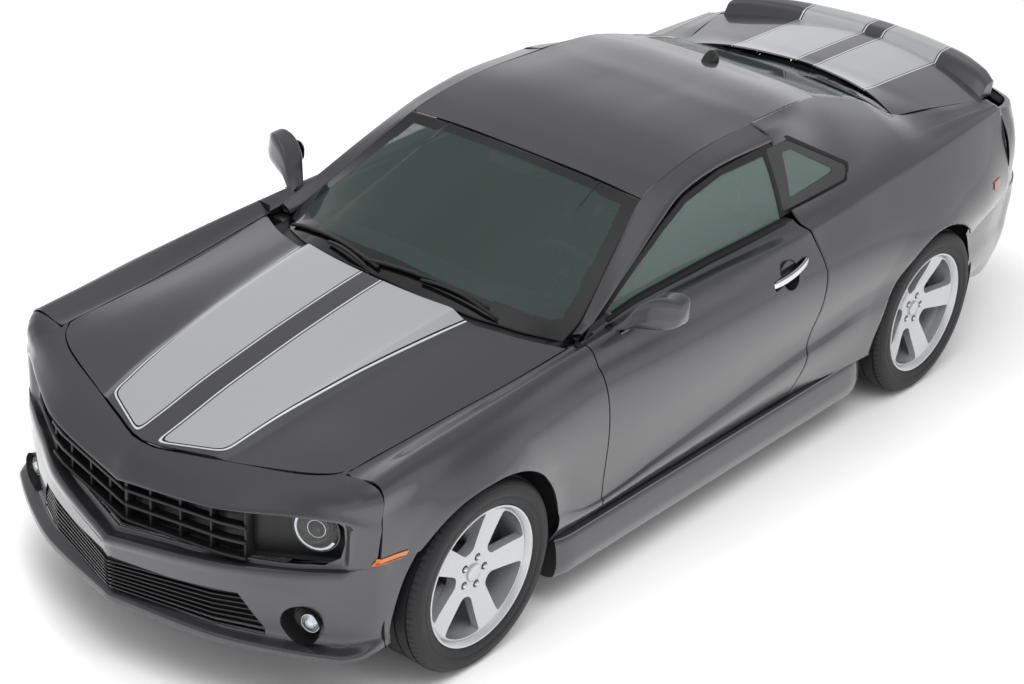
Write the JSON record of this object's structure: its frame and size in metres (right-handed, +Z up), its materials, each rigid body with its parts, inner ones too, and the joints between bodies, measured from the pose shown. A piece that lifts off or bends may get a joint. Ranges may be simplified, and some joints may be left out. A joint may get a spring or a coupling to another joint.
{
  "type": "two-door muscle car",
  "caption": "Full-size two-door muscle car coupe, grey with twin silver stripes, with opening doors, hood and boot lid, steering front wheels and rolling wheels.",
  "frame": {"origin": "centre of the bounding box at the ground, midway between the nose and the tail", "axes": "+X to the car's left (driver's side), -Y to the front, +Y to the rear, +Z up"},
  "size_m": [2.06, 4.836, 1.377],
  "materials": {
    "body_paint": "clear-coated metallic grey",
    "window_glass": "tinted",
    "wheel_silver": "painted silver",
    "tyre_rubber": "matt",
    "black_plastic": "satin",
    "lamp_clear": "clear lens",
    "lamp_red": "red lens",
    "lamp_amber": "amber and red lens",
    "trim_black": "gloss black",
    "seat_cover": "grained",
    "chassis_black": "satin black",
    "cast_metal": "as cast",
    "forged_steel": "machined",
    "exhaust_steel": "stainless"
  },
  "bodies": {
    "body": {"fenders": "body_paint", "quarter_panels": "body_paint", "quarter_glass": "window_glass", "side_frames": "body_paint", "roof_panel": "body_paint", "windscreen": "window_glass", "rear_window": "window_glass", "cowl": "black_plastic", "nose_panel": "body_paint", "front_bumper": "body_paint", "tail_panel": "body_paint", "rear_bumper": "body_paint", "grilles": "black_plastic", "front_lamps": "lamp_clear", "tail_lamps": "lamp_red", "side_markers": "lamp_amber", "antenna_fin": "trim_black", "sills": "body_paint", "floor_pan": "chassis_black", "dashboard": "black_plastic", "front_seats": "seat_cover", "rear_seat": "seat_cover", "engine": "cast_metal", "exhaust": "exhaust_steel", "front_suspension": "forged_steel", "rear_suspension": "forged_steel"},
    "hood": {"hood": "body_paint"},
    "boot_lid": {"boot_lid": "body_paint", "spoiler": "body_paint"},
    "door_left": {"door_left": "body_paint", "door_glass_left": "window_glass", "mirror_left": "body_paint"},
    "door_right": {"door_right": "body_paint", "door_glass_right": "window_glass", "mirror_right": "body_paint"},
    "steering_wheel": {"steering_wheel": "black_plastic"},
    "knuckle_left": {"knuckle_left": "cast_metal"},
    "knuckle_right": {"knuckle_right": "cast_metal"},
    "wheel_front_left": {"wheel_front_left": "wheel_silver", "tyre_front_left": "tyre_rubber"},
    "wheel_front_right": {"wheel_front_right": "wheel_silver", "tyre_front_right": "tyre_rubber"},
    "wheel_rear_left": {"wheel_rear_left": "wheel_silver", "tyre_rear_left": "tyre_rubber"},
    "wheel_rear_right": {"wheel_rear_right": "wheel_silver", "tyre_rear_right": "tyre_rubber"}
  },
  "joints": [
    {"name": "hood_hinge", "type": "hinge", "parent": "body", "child": "hood", "pos_m": [0, -0.893, 0.915], "axis": [-1, 0, 0], "range_deg": [0, 50]},
    {"name": "boot_lid_hinge", "type": "hinge", "parent": "body", "child": "boot_lid", "pos_m": [0, 1.479, 1.112], "axis": [1, 0, 0], "range_deg": [0, 75]},
    {"name": "door_left_hinge", "type": "hinge", "parent": "body", "child": "door_left", "pos_m": [0.903, -0.831, 0.6], "axis": [0, 0, -1], "range_deg": [0, 65]},
    {"name": "door_right_hinge", "type": "hinge", "parent": "body", "child": "door_right", "pos_m": [-0.903, -0.831, 0.6], "axis": [0, 0, 1], "range_deg": [0, 65]},
    {"name": "steer_left", "type": "hinge", "parent": "body", "child": "knuckle_left", "pos_m": [0.735, -1.533, 0.364], "axis": [0, 0, 1], "range_deg": [-34, 34]},
    {"name": "steer_right", "type": "hinge", "parent": "body", "child": "knuckle_right", "pos_m": [-0.735, -1.533, 0.364], "axis": [0, 0, 1], "range_deg": [-34, 34]},
    {"name": "steering_column", "type": "hinge", "parent": "body", "child": "steering_wheel", "pos_m": [0.37, -0.413, 0.905], "axis": [0, 0.9272, 0.3746], "range_deg": [-544, 544]},
    {"name": "spin_front_left", "type": "hinge", "parent": "knuckle_left", "child": "wheel_front_left", "pos_m": [0.809, -1.533, 0.364], "axis": [1, 0, 0], "continuous": true},
    {"name": "spin_front_right", "type": "hinge", "parent": "knuckle_right", "child": "wheel_front_right", "pos_m": [-0.809, -1.533, 0.364], "axis": [1, 0, 0], "continuous": true},
    {"name": "spin_rear_left", "type": "hinge", "parent": "body", "child": "wheel_rear_left", "pos_m": [0.814, 1.319, 0.364], "axis": [1, 0, 0], "continuous": true},
    {"name": "spin_rear_right", "type": "hinge", "parent": "body", "child": "wheel_rear_right", "pos_m": [-0.814, 1.319, 0.364], "axis": [1, 0, 0], "continuous": true}
  ],
  "couplings": [
    {"joint": "steer_right", "follows": "steer_left", "ratio": 1},
    {"joint": "steering_column", "follows": "steer_left", "ratio": 16}
  ]
}
